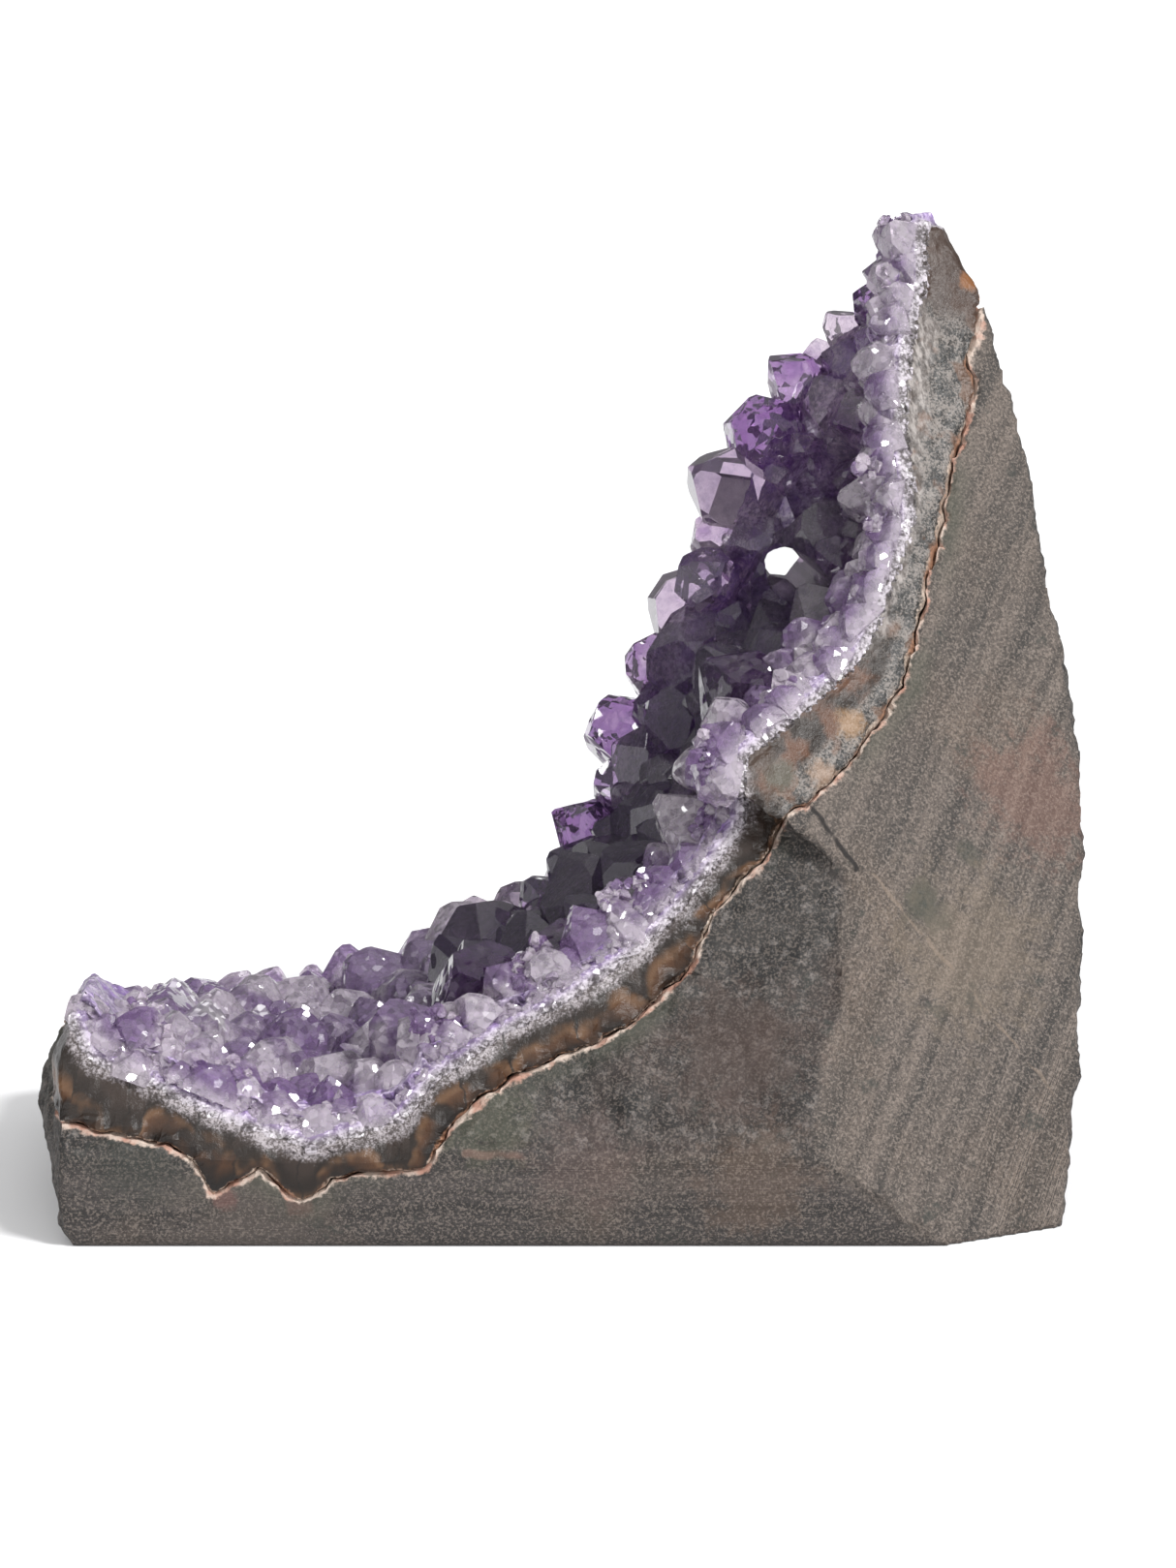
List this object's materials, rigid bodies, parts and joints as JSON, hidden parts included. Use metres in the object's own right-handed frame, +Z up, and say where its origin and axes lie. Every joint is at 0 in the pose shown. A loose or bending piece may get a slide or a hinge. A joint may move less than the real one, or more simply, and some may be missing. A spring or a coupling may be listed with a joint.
{
  "type": "amethyst cluster",
  "caption": "Free-standing wedge of geode wall on a sawn base: basalt backing, agate lining and a hollow crust of amethyst crystals rising to a tall peak.",
  "frame": {"origin": "middle of the bounding box, on the level of the sawn base", "axes": "+X towards the tall wall, +Y away from the sawn front, +Z up"},
  "size_m": [0.16, 0.095, 0.145],
  "materials": {
    "basalt": null,
    "agate": "banded dark brown and grey agate, slightly translucent at thin edges",
    "amethyst": "clear to deep purple quartz with glossy natural faces"
  },
  "bodies": {
    "root": {"basalt_matrix": "basalt", "agate_lining": "agate", "amethyst_crust": "amethyst"}
  },
  "joints": []
}
